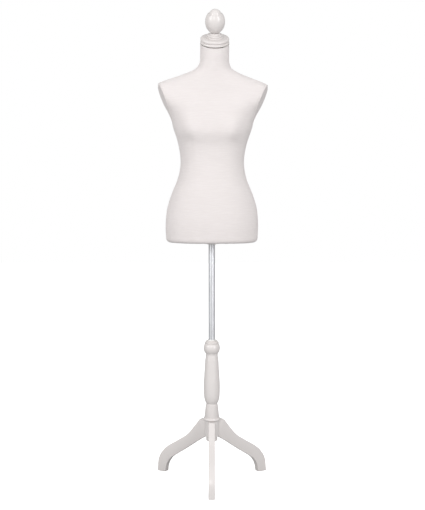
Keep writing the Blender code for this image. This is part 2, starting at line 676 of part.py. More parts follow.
# ---- neck, in the tilted frame of the neck's top
def neck():
    top = empty("neck_axis", torso_axis, leaned(NECK_TOP), NECK_TILT)
    top.rotation_euler.y = SHOULDER_DROP
    inner = NECK_R - FOAM_INSET - FOAM_THICK - 3 * MM
    block_low = -24 * MM
    stud_low, stud_high = -18 * MM, CAP_HEIGHT + 26 * MM
    stud_hole = NECK_STUD_R + GAP
    turned("neck_block", [(0, -GAP), (inner, -GAP), (inner - 10 * MM, block_low), (0, block_low)], top,
           BOARD, steps=24)
    drill = turned("neck_drill", [(0, stud_high + GAP), (stud_hole, stud_high + GAP),
                                  (stud_hole, stud_low - GAP),
                                  (0, stud_low - GAP)], top, steps=14)
    cut(bpy.data.objects["neck_block"], drill)
    wide = NECK_R + 10 * MM
    saw = turned("neck_saw", [(0, wide), (wide, wide), (wide, -GAP / 2), (0, -GAP / 2)], top, steps=8)
    for shell in ("fabric_cover", "foam_core"):
        cut(bpy.data.objects[shell], saw)
    turned("neck_stud", [(0, stud_high), (NECK_STUD_R, stud_high), (NECK_STUD_R, stud_low),
                         (0, stud_low)],
           top, STEEL, steps=14)
    low = GAP
    bead = 5 * MM
    upper = (CAP_HEIGHT - 2 * bead - 1 * MM) / 2
    upper_z = CAP_HEIGHT - upper
    bun_top = CAP_HEIGHT + BUN_HEIGHT
    turned("neck_cap", [(0, bun_top), (13 * MM, bun_top), (16 * MM, bun_top - 2 * MM),
                        (17.5 * MM, bun_top - 5 * MM), (22.5 * MM, bun_top - 6.5 * MM),
                        (26.3 * MM, bun_top - 9 * MM), (27 * MM, bun_top - 11 * MM),
                        (26.5 * MM, CAP_HEIGHT + 5.5 * MM), (29.8 * MM, CAP_HEIGHT + 4.4 * MM),
                        (30.6 * MM, CAP_HEIGHT + 2.5 * MM), (31 * MM, CAP_HEIGHT),
                        *arc(CAP_R - upper, upper_z, upper, 90, -75, 6),
                        *arc(CAP_R - bead, low + bead, bead, 70, -90, 5), (0, low)],
           top, PAINT, steps=28)
    cut(bpy.data.objects["neck_cap"], drill)
    egg_low = bun_top + GAP
    middle = egg_low + 0.47 * EGG_HEIGHT
    length = 0.50 * EGG_HEIGHT
    sides = []
    for i in range(9):
        angle = (38 - i * 12.9) * DEG
        sides.append((EGG_R * math.cos(angle), middle + length * math.sin(angle)))
    step_r, step_z = sides[0]
    tip = egg_low + EGG_HEIGHT
    turned("finial", [(0, tip), (8 * MM, tip - 1.4 * MM), (14.5 * MM, tip - 5.3 * MM),
                      (18.8 * MM, tip - 10.5 * MM),
                      (20.6 * MM, step_z + 2.2 * MM), (step_r - 2.6 * MM, step_z + 1.5 * MM), *sides,
                      (13 * MM, egg_low + 1.5 * MM), (12.5 * MM, egg_low), (0, egg_low)], top, PAINT,
                      steps=24)
    cut(bpy.data.objects["finial"], drill)


column()
legs()
stand_hardware()
clamp()
pole()
torso()
base()
neck()
bpy.context.view_layer.update()
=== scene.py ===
# %% [markdown]
# # A dress form on a turned wooden stand
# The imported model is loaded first. Every piece made below rides on one of its bodies, so that
# the pole can slide, the form can turn and the clamp can be screwed out.

# %% Load the frame
import math

import bmesh
import bpy
import numpy as np
from mathutils import Matrix, Vector, noise
from mathutils.bvhtree import BVHTree


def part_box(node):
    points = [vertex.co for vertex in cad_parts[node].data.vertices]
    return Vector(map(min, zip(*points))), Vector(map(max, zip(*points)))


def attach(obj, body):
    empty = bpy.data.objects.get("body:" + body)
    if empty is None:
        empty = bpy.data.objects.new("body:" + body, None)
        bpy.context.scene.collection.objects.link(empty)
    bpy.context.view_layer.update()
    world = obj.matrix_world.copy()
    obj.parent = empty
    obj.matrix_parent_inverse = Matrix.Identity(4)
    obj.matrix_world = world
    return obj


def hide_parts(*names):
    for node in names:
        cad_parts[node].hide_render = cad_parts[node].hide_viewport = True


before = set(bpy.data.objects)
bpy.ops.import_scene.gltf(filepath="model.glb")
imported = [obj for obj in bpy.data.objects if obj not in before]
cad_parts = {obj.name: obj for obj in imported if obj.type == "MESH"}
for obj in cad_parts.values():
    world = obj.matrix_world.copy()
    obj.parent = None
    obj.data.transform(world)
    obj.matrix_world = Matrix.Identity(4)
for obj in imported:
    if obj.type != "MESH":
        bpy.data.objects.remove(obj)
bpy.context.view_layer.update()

# %% [markdown]
# The pole is the line that everything is turned about. Its box gives the axis, and the boxes of
# the stand's own pieces give the heights at which one turned shape ends and the next begins.

# %% Read the main lines off the frame
MM = 0.001
DEG = math.pi / 180
pole_low, pole_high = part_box("pole")
AXIS = Vector(((pole_low.x + pole_high.x) / 2, (pole_low.y + pole_high.y) / 2, 0))
POLE_R = (pole_high.x - pole_low.x) / 2
column_low, column_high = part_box("column")
collar_low, collar_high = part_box("bottom_collar")
cover_low, cover_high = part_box("fabric_cover")
print("pole axis at y =", round(AXIS.y, 4))
print("column from", round(column_low.z, 4), "to", round(column_high.z, 4))

# %% [markdown]
# Product pictures of tall things are taken from a few metres away with a longish lens, held
# almost level so that the pole stays upright. A little vertical shift brings the feet into the
# frame; they are seen from above, and the neck slightly from below.

# %% Camera
CAMERA_DISTANCE = 3.3
CAMERA_HEIGHT = 1.037
CAMERA_PITCH = 0.70 * DEG
CAMERA_LENS = 66.62
CAMERA_ASIDE = 0.0025
CAMERA_RISE = -0.1176

camera_data = bpy.data.cameras.new("studio_camera")
camera_data.lens = CAMERA_LENS
camera_data.sensor_width = 36
camera_data.sensor_fit = "AUTO"
camera_data.shift_y = CAMERA_RISE
camera = bpy.data.objects.new("studio_camera", camera_data)
camera.location = (CAMERA_ASIDE, AXIS.y - CAMERA_DISTANCE, CAMERA_HEIGHT)
camera.rotation_euler = (math.pi / 2 - CAMERA_PITCH, 0, 0)
bpy.context.scene.collection.objects.link(camera)
bpy.context.scene.camera = camera
print("camera", CAMERA_LENS, "mm at", tuple(round(v, 3) for v in camera.location))

# %% [markdown]
# A white form on white needs light that wraps round it from the front and both sides: its edges
# then still fall off towards grey and draw the outline. The strongest soft light stands to the
# right, a weaker one to the left, and the weakest above the camera, so the form throws a short
# shadow on the pole. The surround looks white to the camera but lights the form more weakly.


# %% Studio
def area_light(name, place, aim, size, power, colour=(1, 1, 1)):
    data = bpy.data.lights.new(name, "AREA")
    data.shape = "RECTANGLE"
    data.size, data.size_y = size
    data.energy = power
    data.color = colour
    lamp = bpy.data.objects.new(name, data)
    lamp.location = place
    lamp.rotation_euler = (Vector(aim) - Vector(place)).to_track_quat("-Z", "Y").to_euler()
    bpy.context.scene.collection.objects.link(lamp)
    return lamp


area_light("key_softbox", (-0.7, -3.5, 2.35), (0, 0, 1.0), (1.1, 1.1), 34)
area_light("right_softbox", (2.4, -2.7, 1.75), (0, 0, 1.1), (1.0, 1.8), 62)
area_light("left_softbox", (-2.8, -2.0, 1.75), (0, 0, 0.9), (1.0, 1.8), 48)
area_light("top_light", (0, 0.2, 4.0), (0, 0, 0), (4.0, 4.0), 14)

SURROUND_LIGHT, SURROUND_SEEN = 0.52, 1.0
world = bpy.data.worlds.new("pale_surround")
world.use_nodes = True
surround = world.node_tree
background = surround.nodes["Background"]
background.inputs["Color"].default_value = (1, 1, 1, 1)
background.inputs["Strength"].default_value = SURROUND_LIGHT
seen = surround.nodes.new("ShaderNodeBackground")
seen.inputs["Color"].default_value = (1, 1, 1, 1)
seen.inputs["Strength"].default_value = SURROUND_SEEN
rays = surround.nodes.new("ShaderNodeLightPath")
either = surround.nodes.new("ShaderNodeMixShader")
surround.links.new(rays.outputs["Is Camera Ray"], either.inputs[0])
surround.links.new(background.outputs[0], either.inputs[1])
surround.links.new(seen.outputs[0], either.inputs[2])
surround.links.new(either.outputs[0], surround.nodes["World Output"].inputs["Surface"])
bpy.context.scene.world = world
bpy.context.scene.view_settings.view_transform = "Standard"

floor_mesh = bpy.data.meshes.new("studio_floor")
floor_mesh.from_pydata([(-9, -9, 0), (9, -9, 0), (9, 9, 0), (-9, 9, 0)], [], [(0, 1, 2, 3)])
studio_floor = bpy.data.objects.new("studio_floor", floor_mesh)
bpy.context.scene.collection.objects.link(studio_floor)

# %% [markdown]
# Shader maths reads best as plain expressions. A `Wire` is one value on its way through a
# material: adding or multiplying wires adds the Math node that does it. A `Finish` is one
# material, and its `node` method makes any other node.


# %% Shader expressions
class Wire:
    """One output socket, with arithmetic."""

    def __init__(self, finish, socket):
        self.finish = finish
        self.socket = socket

    def maths(self, operation, *terms):
        return self.finish.node("ShaderNodeMath", {"operation": operation}, *terms)

    def __add__(self, other):
        return self.maths("ADD", self, other)

    def __radd__(self, other):
        return self.maths("ADD", other, self)

    def __sub__(self, other):
        return self.maths("SUBTRACT", self, other)

    def __rsub__(self, other):
        return self.maths("SUBTRACT", other, self)

    def __mul__(self, other):
        return self.maths("MULTIPLY", self, other)

    def __rmul__(self, other):
        return self.maths("MULTIPLY", other, self)

    def __truediv__(self, other):
        return self.maths("DIVIDE", self, other)

    def __pow__(self, other):
        return self.maths("POWER", self, other)

    def sin(self):
        return self.maths("SINE", self)

    def size(self):
        return self.maths("ABSOLUTE", self)

    def between(self, low, high):
        """0 below low, 1 above high, smooth in the middle."""
        return self.finish.node("ShaderNodeMapRange", {"interpolation_type": "SMOOTHSTEP"},
                                self, low, high, 0.0, 1.0)


class Finish:
    """A material built round one Principled shader."""

    def __init__(self, name, **sockets):
        self.material = bpy.data.materials.new(name)
        self.material.use_nodes = True
        self.tree = self.material.node_tree
        self.shader = self.tree.nodes["Principled BSDF"]
        self.set(**sockets)

    def join(self, socket, value):
        if isinstance(value, Wire):
            self.tree.links.new(value.socket, socket)
        elif socket.type == "RGBA":
            socket.default_value = (*value[:3], 1)
        else:
            socket.default_value = value

    def set(self, **sockets):
        for name, value in sockets.items():
            self.join(self.shader.inputs[name.replace("_", " ")], value)
        return self

    def node(self, kind, settings=None, *inputs, out=0, **named):
        made = self.tree.nodes.new(kind)
        for name, value in (settings or {}).items():
            if name == "stops":
                ramp = made.color_ramp.elements
                while len(ramp) < len(value):
                    ramp.new(1.0)
                for stop, (position, colour) in zip(ramp, value):
                    stop.position = position
                    stop.color = (*colour, 1)
            else:
                setattr(made, name, value)
        for socket, value in zip(made.inputs, inputs):
            self.join(socket, value)
        for name, value in named.items():
            self.join(made.inputs[name.replace("_", " ")], value)
        return Wire(self, made.outputs[out])

    def mix(self, factor, first, second):
        made = self.tree.nodes.new("ShaderNodeMix")
        made.data_type = "RGBA"
        self.join(made.inputs[0], factor)
        self.join(made.inputs[6], first)
        self.join(made.inputs[7], second)
        return Wire(self, made.outputs[2])

    def place(self, scale=(1, 1, 1)):
        """Object coordinates in metres, stretched by scale."""
        where = self.node("ShaderNodeTexCoord", out="Object")
        return self.node("ShaderNodeVectorMath", {"operation": "MULTIPLY"}, where, scale)

    def parts(self, vector):
        """The three numbers of a vector."""
        split = self.tree.nodes.new("ShaderNodeSeparateXYZ")
        self.join(split.inputs[0], vector)
        return [Wire(self, socket) for socket in split.outputs]

    def cloud(self, scale, detail=2.0, stretch=(1, 1, 1), roughness=0.5):
        return self.node("ShaderNodeTexNoise", None, self.place(stretch),
                         Scale=scale, Detail=detail, Roughness=roughness)

    def bump(self, height, distance, strength=1.0, under=None):
        named = {"Strength": strength, "Distance": distance, "Height": height}
        if under is not None:
            named["Normal"] = under
        return self.node("ShaderNodeBump", None, **named)


print("shader helpers ready")

# %% [markdown]
# ## Painted wood
# The column, legs, cap and finial are sprayed with a satin off-white lacquer. Seen close, the
# spray has a fine orange-peel skin, the wood's grain shows through it faintly along the piece,
# and handling leaves slightly yellower, duller patches.


# %% Lacquer
def lacquer(name, grain_axis, tint=(0.69, 0.657, 0.648), coat=0.25):
    finish = Finish(name, IOR=1.48)
    along = [26.0, 26.0, 26.0]
    along["xyz".index(grain_axis)] = 1.6
    grain = finish.cloud(12.0, 4.0, tuple(along), 0.6)
    peel = finish.cloud(650.0, 2.0)
    patches = finish.cloud(7.0, 3.0)
    worn = patches.between(0.56, 0.72)
    warm = tuple(c * f for c, f in zip(tint, (0.985, 0.965, 0.925)))
    finish.set(
        Base_Color=finish.mix(worn * 0.7 + grain * 0.25, tint, warm),
        Roughness=0.30 + worn * 0.10 + grain * 0.06,
        Normal=finish.bump(grain * 0.7 + peel * 0.3, 0.00012, 0.55),
        Coat_Weight=coat, Coat_Roughness=0.22)
    return finish.material


lacquer_upright = lacquer("satin_lacquer_upright", "z")
lacquer_board = lacquer("satin_lacquer_board", "y", (0.695, 0.662, 0.652), 0.10)
print("lacquers made")

# %% [markdown]
# ## Jersey
# The cover is a fine single jersey knit. Its courses run round the body and show as faint, broken
# level lines; each stitch is a small V about 1.2 mm wide. The yarn is slubby, so the lines vary in
# weight, and the surface has a short fuzz that brightens where it is seen edge on.

# %% Knit
COURSE = 1.5 * MM
WALE = 1.3 * MM
TURN = 2 * math.pi

jersey = Finish("jersey_knit", Sheen_Weight=0.22, Sheen_Roughness=0.5, IOR=1.4)
shifted = jersey.node("ShaderNodeVectorMath", {"operation": "SUBTRACT"}, jersey.place(), tuple(AXIS))
east, north, up = jersey.parts(shifted)
bearing = jersey.node("ShaderNodeMath", {"operation": "ARCTAN2"}, north, east)
wales = bearing * (0.125 / WALE)
slub = jersey.cloud(1.0, 3.0, (28, 28, 420), 0.65)
thread = jersey.cloud(1.0, 2.0, (90, 90, 700), 0.6)
drift = jersey.cloud(16.0, 3.0)
wander = slub * 0.5
courses = ((up / COURSE + (wales * TURN).sin() * 0.18 + wander) * TURN).sin()
stitches = (wales * TURN).sin().size()
knit = courses * 0.5 + stitches * 0.3 + slub * 1.1 + thread * 0.9
streak = slub.between(0.38, 0.66)
pale = (0.80, 0.758, 0.75)
shade = (0.71, 0.66, 0.65)
jersey.set(
    Base_Color=jersey.mix(streak * 0.26 + thread * 0.28 + drift * 0.22 + 0.12, shade, pale),
    Roughness=0.84 + slub * 0.12,
    Normal=jersey.bump(knit, 0.0005, 0.6))

seam_cloth = Finish("seam_cloth", Sheen_Weight=0.2, Sheen_Roughness=0.5)
twist = seam_cloth.node("ShaderNodeTexWave", {"wave_type": "BANDS", "bands_direction": "DIAGONAL"},
                        seam_cloth.place(), Scale=330.0, Distortion=1.5)
seam_fuzz = seam_cloth.cloud(900.0, 2.0)
seam_cloth.set(
    Base_Color=seam_cloth.mix(twist * 0.6 + seam_fuzz * 0.3, (0.76, 0.70, 0.685), (0.87, 0.825, 0.81)),
    Roughness=0.82 + seam_fuzz * 0.1,
    Normal=seam_cloth.bump(twist + seam_fuzz * 0.5, 0.0003, 0.6))
print("knit course", COURSE, "m")

# %% [markdown]
# ## Metals, plastics, board and foam
# The pole is bright drawn steel with fine rings from polishing. The small hardware is duller. The
# bushes are moulded nylon, and the base board is bare fibreboard with a speckled face. The studio
# floor is here too: it looks white, but throws back less light than that, or it would light the
# form from below.

# %% Pole steel and hardware
pole_steel = Finish("drawn_steel", Metallic=1.0)
rings = pole_steel.cloud(1.0, 2.0, (60, 60, 2600), 0.6)
smudge = pole_steel.cloud(14.0, 3.0)
pole_steel.set(
    Base_Color=pole_steel.mix(smudge, (0.76, 0.77, 0.80), (0.84, 0.85, 0.88)),
    Roughness=0.36 + rings * 0.10 + smudge.between(0.5, 0.7) * 0.06,
    Normal=pole_steel.bump(rings, 0.00004, 0.5))

hardware = Finish("zinc_hardware", Metallic=1.0)
mottled = hardware.cloud(420.0, 3.0)
hardware.set(
    Base_Color=hardware.mix(mottled, (0.52, 0.52, 0.53), (0.68, 0.68, 0.69)),
    Roughness=0.32 + mottled * 0.16,
    Normal=hardware.bump(mottled, 0.00005, 0.5))

brass = Finish("turned_brass", Metallic=1.0)
lathe = brass.cloud(1.0, 2.0, (80, 2400, 80), 0.6)
brass.set(
    Base_Color=brass.mix(lathe, (0.70, 0.50, 0.22), (0.83, 0.64, 0.33)),
    Roughness=0.26 + lathe * 0.14,
    Normal=brass.bump(lathe, 0.00005, 0.5))


def moulded(name, low, high, roughness):
    finish = Finish(name, IOR=1.5)
    haze = finish.cloud(60.0, 3.0)
    grain = finish.cloud(1500.0, 2.0)
    finish.set(
        Base_Color=finish.mix(haze, low, high),
        Roughness=roughness + grain * 0.10,
        Normal=finish.bump(grain, 0.00004, 0.5))
    return finish.material


nylon = moulded("moulded_nylon", (0.78, 0.775, 0.755), (0.85, 0.845, 0.83), 0.38)
knob_plastic = moulded("knob_plastic", (0.76, 0.74, 0.72), (0.82, 0.80, 0.78), 0.22)

fibreboard = Finish("fibreboard", IOR=1.4)
flecks = fibreboard.cloud(1.0, 4.0, (500, 1400, 900), 0.7)
fibreboard.set(
    Base_Color=fibreboard.mix(flecks.between(0.35, 0.65), (0.42, 0.30, 0.19), (0.60, 0.46, 0.32)),
    Roughness=0.72 + flecks * 0.2,
    Normal=fibreboard.bump(flecks, 0.0002, 0.6))

foam = Finish("bead_foam", IOR=1.3)
cells = foam.node("ShaderNodeTexVoronoi", {"feature": "DISTANCE_TO_EDGE"}, foam.place(), out="Distance",
                  Scale=260.0)
skin = cells.between(0.0, 0.12)
foam.set(
    Base_Color=foam.mix(skin, (0.70, 0.69, 0.65), (0.86, 0.855, 0.83)),
    Roughness=0.86 - skin * 0.12,
    Normal=foam.bump(skin, 0.0005, 0.7))

FLOOR_BOUNCE = 0.42
floor_paint = Finish("floor_paint", Specular_IOR_Level=0.2)
floor_tone = floor_paint.cloud(0.8, 2.0)
floor_paint.set(
    Base_Color=floor_paint.mix(floor_tone, (0.93, 0.93, 0.93), (0.95, 0.95, 0.95)),
    Roughness=0.8, Emission_Color=(1, 1, 1, 1), Emission_Strength=0.62)
dim = floor_paint.node("ShaderNodeBsdfDiffuse", None, (FLOOR_BOUNCE, FLOOR_BOUNCE, FLOOR_BOUNCE, 1))
camera_sees = floor_paint.node("ShaderNodeLightPath", out="Is Camera Ray")
bright = Wire(floor_paint, floor_paint.shader.outputs[0])
lit = floor_paint.node("ShaderNodeMixShader", None, camera_sees, dim, bright)
floor_paint.tree.links.new(lit.socket, floor_paint.tree.nodes["Material Output"].inputs["Surface"])
studio_floor.data.materials.append(floor_paint.material)
print(len(bpy.data.materials), "materials")

# %% [markdown]
# ## Making turned pieces
# A lathe leaves a shape whose every level is a circle, so one line of points, spun round the
# axis, is the whole piece. Beads are arcs, long curves pass smoothly through a few set points, and
# edges sharper than 38 degrees stay crisp.


# %% Turning
def place_mesh(name, mesh, body, material):
    piece = bpy.data.objects.new(name, mesh)
    bpy.context.scene.collection.objects.link(piece)
    mesh.materials.clear()
    mesh.materials.append(material)
    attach(piece, body)
    return piece


def arc(r, z, radius, start, end, count):
    """Points of a bead, as (radius, height); angles in degrees from outward, up positive."""
    angles = [(start + (end - start) * i / (count - 1)) * DEG for i in range(count)]
    return [(r + radius * math.cos(a), z + radius * math.sin(a)) for a in angles]


def smooth_through(points, samples):
    points = [Vector(p) for p in points]
    ends = [2 * points[0] - points[1], *points, 2 * points[-1] - points[-2]]
    out = []
    for i in range(1, len(ends) - 2):
        before, here, there, after = ends[i - 1:i + 3]
        for k in range(samples):
            t = k / samples
            out.append(0.5 * (2 * here + (there - before) * t
                              + (2 * before - 5 * here + 4 * there - after) * t * t
                              + (3 * here - before - 3 * there + after) * t ** 3))
    return [tuple(p) for p in out] + [tuple(points[-1])]


def spin(points, steps, closed=False):
    """A mesh turned round Z from (radius, height) points that run down its outer side."""
    shape = bmesh.new()
    line = [shape.verts.new((r, 0, z)) for r, z in points]
    edges = [shape.edges.new(pair) for pair in zip(line, line[1:])]
    if closed:
        edges.append(shape.edges.new((line[-1], line[0])))
    bmesh.ops.spin(shape, geom=line + edges, axis=(0, 0, 1), cent=(0, 0, 0), steps=steps, angle=TURN)
    bmesh.ops.remove_doubles(shape, verts=shape.verts, dist=0.00001)
    bmesh.ops.recalc_face_normals(shape, faces=shape.faces)
    mesh = bpy.data.meshes.new("turned")
    shape.to_mesh(mesh)
    shape.free()
    mesh.shade_smooth()
    mesh.set_sharp_from_angle(angle=38 * DEG)
    return mesh


def turned(name, points, body, material, frame_matrix=None, steps=96, closed=False):
    mesh = spin(points, steps, closed)
    mesh.transform(frame_matrix if frame_matrix is not None else Matrix.Translation(AXIS))
    return place_mesh(name, mesh, body, material)


print("turning helpers ready")

# %% [markdown]
# ## Column
# One piece of wood: a collar and cushion over the ball, a throat with two scored rings, a vase
# that swells and rounds in at its foot, a cone, a flange ring and the hub. The hub has flats where
# the legs seat, so that part is cut with plain blocks after turning.

# %% Column
HUB_R = 24.8 * MM
HUB_FLAT_R = 21.5 * MM
FLANGE_R = 30 * MM
FLANGE_HEIGHT = 10 * MM
CONE_HEIGHT = 48 * MM
VASE_HEIGHT = 172 * MM
BALL_HEIGHT = 50 * MM
VASE_R = 28 * MM
BALL_R = 28.4 * MM
WAIST_R = 19.4 * MM
THROAT_R = 20.6 * MM
BORE_R = 11.7 * MM
BUSH_R = 13.4 * MM
BUSH_LENGTH = 15 * MM

top_z = column_high.z
vase_top = top_z - BALL_HEIGHT
cone_top = vase_top - VASE_HEIGHT
flange_top = cone_top - CONE_HEIGHT
hub_top = flange_top - FLANGE_HEIGHT
hub_bottom = column_low.z
ball_z = vase_top + 0.47 * BALL_HEIGHT


def scored(points, heights, depth, width):
    """The same line with small V grooves at the heights given."""
    out = []
    for (r0, z0), (r1, z1) in zip(points, points[1:]):
        out.append((r0, z0))
        for h in heights:
            if z1 < h <= z0:
                r = r0 + (r1 - r0) * (z0 - h) / (z0 - z1)
                out += [(r, h + width), (r - depth, h), (r, h - width)]
    return out + [points[-1]]


vase = smooth_through((
    (THROAT_R, vase_top - 2 * MM), (THROAT_R + 2.4 * MM, cone_top + 0.88 * VASE_HEIGHT),
    (VASE_R - 2.6 * MM, cone_top + 0.66 * VASE_HEIGHT), (VASE_R, cone_top + 0.40 * VASE_HEIGHT),
    (VASE_R - 0.5 * MM, cone_top + 0.18 * VASE_HEIGHT), (VASE_R - 3.4 * MM, cone_top + 0.075 * VASE_HEIGHT),
    (WAIST_R + 0.2 * MM, cone_top + 1.5 * MM)), 9)
vase = scored(vase, [vase_top - 9.5 * MM, vase_top - 13.5 * MM], 0.7 * MM, 0.7 * MM)
half = FLANGE_HEIGHT / 2
collar_r = THROAT_R - 1 * MM
cushion_r = BALL_R - 4.2 * MM
column_line = [
    (BUSH_R, top_z), (collar_r - 0.8 * MM, top_z), (collar_r, top_z - 0.8 * MM), (collar_r, top_z - 4 * MM),
    *arc(cushion_r - 3.2 * MM, top_z - 8.0 * MM, 3.4 * MM, 78, -60, 9),
    *arc(0, ball_z, BALL_R, 31, -42, 19), (THROAT_R + 0.2 * MM, vase_top + 0.6 * MM), *vase,
    (WAIST_R, cone_top), (WAIST_R, cone_top - 2 * MM), (WAIST_R + 1.6 * MM, cone_top - 3.4 * MM),
    (FLANGE_R - 4 * MM, flange_top + 0.8 * MM), *arc(FLANGE_R - half, flange_top - half, half, 82, -80, 13),
    (HUB_R, hub_top), (HUB_R, hub_bottom), (BORE_R, hub_bottom),
    (BORE_R, top_z - BUSH_LENGTH), (BUSH_R, top_z - BUSH_LENGTH)]
column_mesh = spin(column_line, 96, closed=True)
column_mesh.transform(Matrix.Translation(AXIS))


def cut_away(mesh, tools, sharp=38 * DEG):
    """The mesh with each tool's box or cylinder removed, as a new mesh."""
    target = bpy.data.objects.new("blank", mesh)
    bpy.context.scene.collection.objects.link(target)
    made = []
    for tool in tools:
        other = bpy.data.objects.new("tool", tool)
        bpy.context.scene.collection.objects.link(other)
        step = target.modifiers.new("cut", "BOOLEAN")
        step.operation = "DIFFERENCE"
        step.object = other
        made.append(other)
    bpy.context.view_layer.update()
    result = bpy.data.meshes.new_from_object(target.evaluated_get(bpy.context.evaluated_depsgraph_get()))
    for spare in made + [target]:
        bpy.data.objects.remove(spare, do_unlink=True)
    result.shade_smooth()
    result.set_sharp_from_angle(angle=sharp)
    return result


def box_mesh(low, high, matrix):
    shape = bmesh.new()
    bmesh.ops.create_cube(shape, size=1)
    low, high = Vector(low), Vector(high)
    size = high - low
    bmesh.ops.transform(shape, verts=shape.verts,
                        matrix=matrix @ Matrix.Translation((low + high) / 2) @ Matrix.Diagonal((*size, 1)))
    mesh = bpy.data.meshes.new("box")
    shape.to_mesh(mesh)
    shape.free()
    return mesh


clamp_matrix = Matrix.Translation(AXIS + Vector((0, 0, ball_z))) @ Matrix.Rotation(-math.pi / 2, 4, "X")
hole_mesh = spin([(0, 40 * MM), (6.3 * MM, 40 * MM), (6.3 * MM, 5 * MM), (0, 5 * MM)], 40)
hole_mesh.transform(clamp_matrix)
flats = []
for leg_number in range(3):
    turn = Matrix.Translation(AXIS) @ Matrix.Rotation(leg_number * TURN / 3, 4, "Z")
    flats.append(box_mesh((-20 * MM, -60 * MM, hub_bottom - 5 * MM), (20 * MM, -HUB_FLAT_R, hub_top), turn))
column_piece = place_mesh("turned_column", cut_away(column_mesh, flats + [hole_mesh]), "stand",
                          lacquer_upright)
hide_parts("column")
print("column", len(column_piece.data.polygons), "faces")

# %% [markdown]
# ## Collar under the hub
# A short ring closes the slots from below. Three screws hold it.

# %% Bottom collar
collar_r = (collar_high.x - collar_low.x) / 2
collar_line = [
    (BORE_R, collar_high.z), (collar_r - 0.6 * MM, collar_high.z), (collar_r, collar_high.z - 0.6 * MM),
    *arc(collar_r - 3 * MM, collar_low.z + 3 * MM, 3 * MM, 0, -88, 9), (BORE_R, collar_low.z)]
collar_mesh = spin(collar_line, 72, closed=True)
collar_mesh.transform(Matrix.Translation(AXIS))
screw_wells = []
for number in (1, 2, 3):
    low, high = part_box(f"collar_screw_{number}")
    well_top, well_foot, screw_well_r = low.z + 2.6 * MM, low.z - 9 * MM, 3.3 * MM
    well = spin([(0, well_top), (screw_well_r, well_top), (screw_well_r, well_foot), (0, well_foot)], 24)
    well.transform(Matrix.Translation(((low.x + high.x) / 2, (low.y + high.y) / 2, 0)))
    screw_wells.append(well)
collar_piece = place_mesh("turned_collar", cut_away(collar_mesh, screw_wells), "stand",
                          lacquer_upright)
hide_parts("bottom_collar")

# %% [markdown]
# ## Legs
# Each leg is sawn from a 22 mm board along an S: a steep shoulder by the hub, a long sweep out, and
# a knee that turns down to the foot. The edges are only broken, not rounded. A board's grain runs
# along it, so the lacquer's grain is set across the height.

# %% Legs
LEG_REACH = 221 * MM
LEG_THICK = 22 * MM
FOOT_LENGTH = 33 * MM
LEG_TOP = hub_top - 0.3 * MM
BELLY_END = 0.85
LEG_BACK = ((0.115, 1.0), (0.175, 0.925), (0.36, 0.72), (0.57, 0.583), (0.76, 0.47), (0.88, 0.37),
            (0.97, 0.225), (1.0, 0.0))
LEG_BELLY = ((0.0, 0.0), (0.030, 0.128), (0.105, 0.245), (0.235, 0.335), (0.405, 0.438), (0.655, 0.60),
             (0.85, 0.715))


def leg_outline(samples):
    seat = HUB_FLAT_R + 0.3 * MM
    run = LEG_REACH - seat
    inner = LEG_REACH - FOOT_LENGTH
    belly_run = (inner - seat) / BELLY_END
    back = smooth_through([(seat + u * run, v * LEG_TOP) for u, v in LEG_BACK], samples)
    belly = smooth_through([(inner - u * belly_run, v * LEG_TOP) for u, v in LEG_BELLY], samples)
    return [(seat, LEG_TOP), *back, *belly]


def leg_mesh():
    shape = bmesh.new()
    ring = [shape.verts.new((-LEG_THICK / 2, -r, z)) for r, z in leg_outline(9)]
    face = shape.faces.new(ring)
    grown = bmesh.ops.extrude_face_region(shape, geom=[face])["geom"]
    bmesh.ops.translate(shape, verts=[v for v in grown if isinstance(v, bmesh.types.BMVert)],
                        vec=(LEG_THICK, 0, 0))
    bmesh.ops.recalc_face_normals(shape, faces=shape.faces)
    rims = [e for e in shape.edges if e.calc_face_angle(0) > 50 * DEG]
    bmesh.ops.bevel(shape, geom=rims, offset=1.3 * MM, segments=3, profile=0.5, affect="EDGES")
    mesh = bpy.data.meshes.new("leg_board")
    shape.to_mesh(mesh)
    shape.free()
    mesh.shade_smooth()
    mesh.set_sharp_from_angle(angle=24 * DEG)
    return mesh


board_template = leg_mesh()
for number, node in enumerate(("leg_front", "leg_right", "leg_left")):
    turn = Matrix.Translation(AXIS) @ Matrix.Rotation(number * TURN / 3, 4, "Z")
    board = board_template.copy()
    board.transform(turn)
    leg = place_mesh(node + "_board", board, "stand", lacquer_board)
    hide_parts(node)
print("leg faces", len(board_template.polygons))

# %% [markdown]
# ## Guide bush, pole and clamp
# The bush is a small moulded collar that keeps the pole central. The pole's mouth edges are
# broken. The clamp screw gets a real thread: a line that climbs one pitch for each turn.

# %% Bush and pole
bush_low, bush_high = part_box("top_bush")
bush_r = (bush_high.x - bush_low.x) / 2
bush_hole = POLE_R + 0.3 * MM
bush_line = [
    (bush_hole + 0.8 * MM, bush_high.z),
    *arc(bush_r - 1.2 * MM, bush_high.z - 1.2 * MM, 1.2 * MM, 90, 0, 6),
    (bush_r, top_z + 0.3 * MM), (BUSH_R - 0.4 * MM, top_z + 0.3 * MM), (BUSH_R - 0.4 * MM, bush_low.z),
    (bush_hole, bush_low.z), (bush_hole, bush_high.z - 0.8 * MM)]
bush = turned("guide_bush", bush_line, "stand", nylon, steps=72, closed=True)
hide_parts("top_bush")

inner_r = POLE_R - 1.2 * MM
pole_line = [
    (inner_r, pole_high.z), (POLE_R - 0.4 * MM, pole_high.z), (POLE_R, pole_high.z - 0.4 * MM),
    (POLE_R, pole_low.z + 0.4 * MM), (POLE_R - 0.4 * MM, pole_low.z), (inner_r, pole_low.z)]
pole = turned("steel_pole", pole_line, "pole", pole_steel.material, steps=72, closed=True)
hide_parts("pole")

# %% Clamp screw and knob
PITCH = 1.25 * MM
stud_low, stud_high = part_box("clamp_stud")
stud_start = stud_low.y - AXIS.y
stud_end = stud_high.y - AXIS.y


